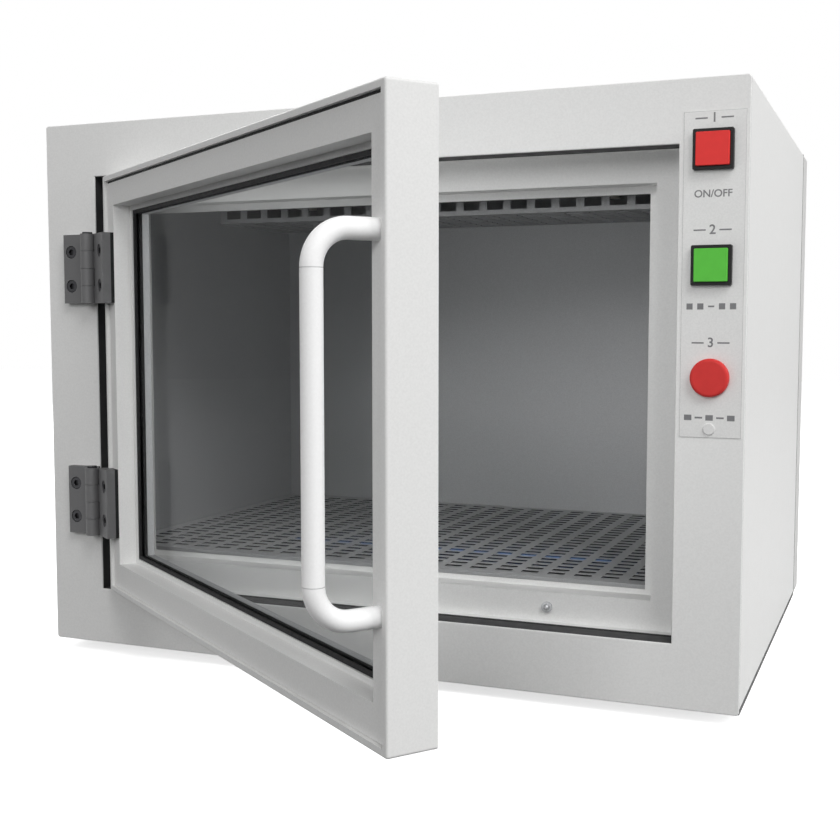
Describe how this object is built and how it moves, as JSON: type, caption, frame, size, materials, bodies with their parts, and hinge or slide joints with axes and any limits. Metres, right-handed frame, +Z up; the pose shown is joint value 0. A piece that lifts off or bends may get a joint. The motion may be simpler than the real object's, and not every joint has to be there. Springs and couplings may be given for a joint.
{
  "type": "uvc disinfection box",
  "caption": "White bench cabinet with a glazed, side-hinged front door standing ajar, a perforated shelf under ultraviolet lamps and a column of push buttons.",
  "frame": {"origin": "on the surface the feet rest on, under the middle of the whole outline with the door ajar", "axes": "+X to the cabinet's right as seen from the front, +Y from the front panel to the rear, +Z up"},
  "size_m": [0.635, 0.8528, 0.49],
  "materials": {
    "white_powder_coat": "satin",
    "black_powder_coat": "satin",
    "door_powder_coat": "satin",
    "handle_powder_coat": "satin",
    "zinc_screws": "satin",
    "black_rubber": "matt",
    "seal_rubber": "matt",
    "liner_metal": "satin",
    "zinc_sheet": "satin",
    "lamp_glass": "clear",
    "lamp_cap_metal": "satin",
    "holder_plastic": "satin",
    "board_laminate": "satin",
    "black_plastic": "satin",
    "contact_brass": "polished",
    "label_film": "matt",
    "red_plastic": "glossy",
    "green_plastic": "glossy",
    "red_lens": "glossy",
    "steel_bright": "polished",
    "hinge_metal": "satin",
    "dark_screws": "satin",
    "window_glass": "clear"
  },
  "bodies": {
    "cabinet": {"outer_case": "white_powder_coat", "front_panel": "white_powder_coat", "rear_cover": "white_powder_coat", "base_plate": "black_powder_coat", "door_recess_frame": "white_powder_coat", "rear_cover_screws": "zinc_screws", "rubber_feet": "black_rubber", "foot_screws": "zinc_screws", "recess_lining": "black_rubber", "chamber_liner": "liner_metal", "liner_rails": "zinc_sheet", "perforated_shelf": "liner_metal", "shelf_supports": "liner_metal", "lamp_guard": "liner_metal", "upper_lamp_tube": "lamp_glass", "lower_lamp_tube": "lamp_glass", "lamp_end_caps": "lamp_cap_metal", "lamp_holders": "holder_plastic", "lamp_ballasts": "zinc_sheet", "board_standoffs": "zinc_screws", "control_board": "board_laminate", "board_relays": "black_plastic", "mains_inlet": "black_plastic", "inlet_pins": "contact_brass", "fuse_drawer": "black_plastic", "label_plate": "label_film", "power_button_bezel": "black_plastic", "cycle_button_bezel": "black_plastic", "status_lamp_base": "black_plastic", "status_lamp_lens": "red_lens", "blank_plug": "label_film", "panel_nuts": "black_plastic", "switch_bodies": "black_plastic", "interlock_bushing": "steel_bright", "interlock_switch": "black_plastic", "upper_hinge_case_leaf": "hinge_metal", "lower_hinge_case_leaf": "hinge_metal", "hinge_pins": "steel_bright", "case_hinge_screws": "dark_screws", "hinge_backing_plates": "zinc_sheet"},
    "door": {"door_frame": "door_powder_coat", "door_face_panel": "door_powder_coat", "door_back_panel": "door_powder_coat", "window_gasket": "black_rubber", "window_pane": "window_glass", "door_seal": "seal_rubber", "door_handle": "handle_powder_coat", "handle_screws": "zinc_screws", "upper_hinge_door_leaf": "hinge_metal", "lower_hinge_door_leaf": "hinge_metal", "door_hinge_screws": "dark_screws", "hinge_packing_plates": "black_plastic"},
    "power_button": {"power_button_cap": "red_plastic"},
    "cycle_button": {"cycle_button_cap": "green_plastic"},
    "interlock_pin": {"interlock_plunger": "steel_bright"}
  },
  "joints": [
    {"name": "door_hinge", "type": "hinge", "parent": "cabinet", "child": "door", "pos_m": [-0.2645, -0.09113, 0.25], "axis": [0, 0, -1], "range_deg": [-36.8, 78.2]},
    {"name": "power_button_press", "type": "slide", "parent": "cabinet", "child": "power_button", "axis": [0, 1, 0], "range_m": [0, 0.0025], "stiffness_N_per_m": 500},
    {"name": "cycle_button_press", "type": "slide", "parent": "cabinet", "child": "cycle_button", "axis": [0, 1, 0], "range_m": [0, 0.0025], "stiffness_N_per_m": 500},
    {"name": "interlock_press", "type": "slide", "parent": "cabinet", "child": "interlock_pin", "axis": [0, 1, 0], "range_m": [0, 0.003], "stiffness_N_per_m": 400}
  ]
}
